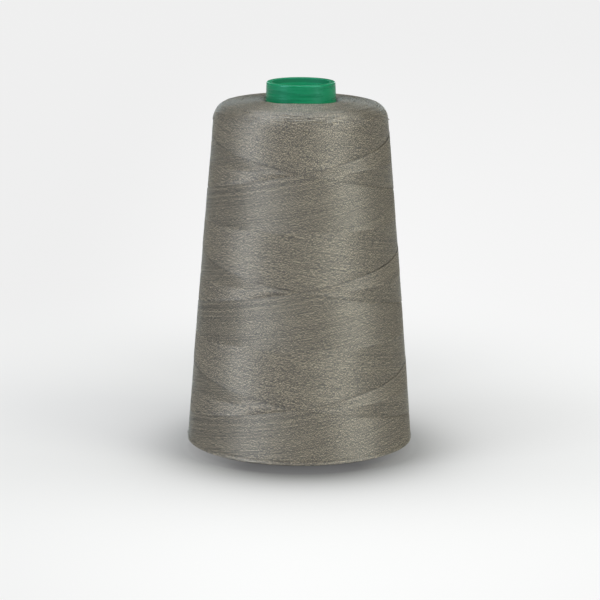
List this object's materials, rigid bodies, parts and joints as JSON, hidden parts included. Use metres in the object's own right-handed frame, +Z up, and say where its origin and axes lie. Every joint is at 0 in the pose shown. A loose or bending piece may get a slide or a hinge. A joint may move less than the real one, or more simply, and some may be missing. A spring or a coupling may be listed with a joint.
{
  "type": "thread cone",
  "caption": "Hollow tapered plastic core with a cross-wound package of sewing thread on it, its open nose collar standing out of the top.",
  "frame": {"origin": "centre of the circle that the core's foot stands on", "axes": "+Z up along the core's axis towards its nose collar, -Y is the front, +Y the side of the notch in the foot"},
  "size_m": [0.0758, 0.0766, 0.127],
  "materials": {
    "core_plastic": "moulded green polypropylene, smooth with a soft gloss",
    "thread": "spun polyester sewing thread in taupe grey, slightly hairy, with a soft sheen along each strand"
  },
  "bodies": {
    "root": {"cone_core": "core_plastic", "thread_winding": "thread", "outer_turns": "thread"}
  },
  "joints": []
}
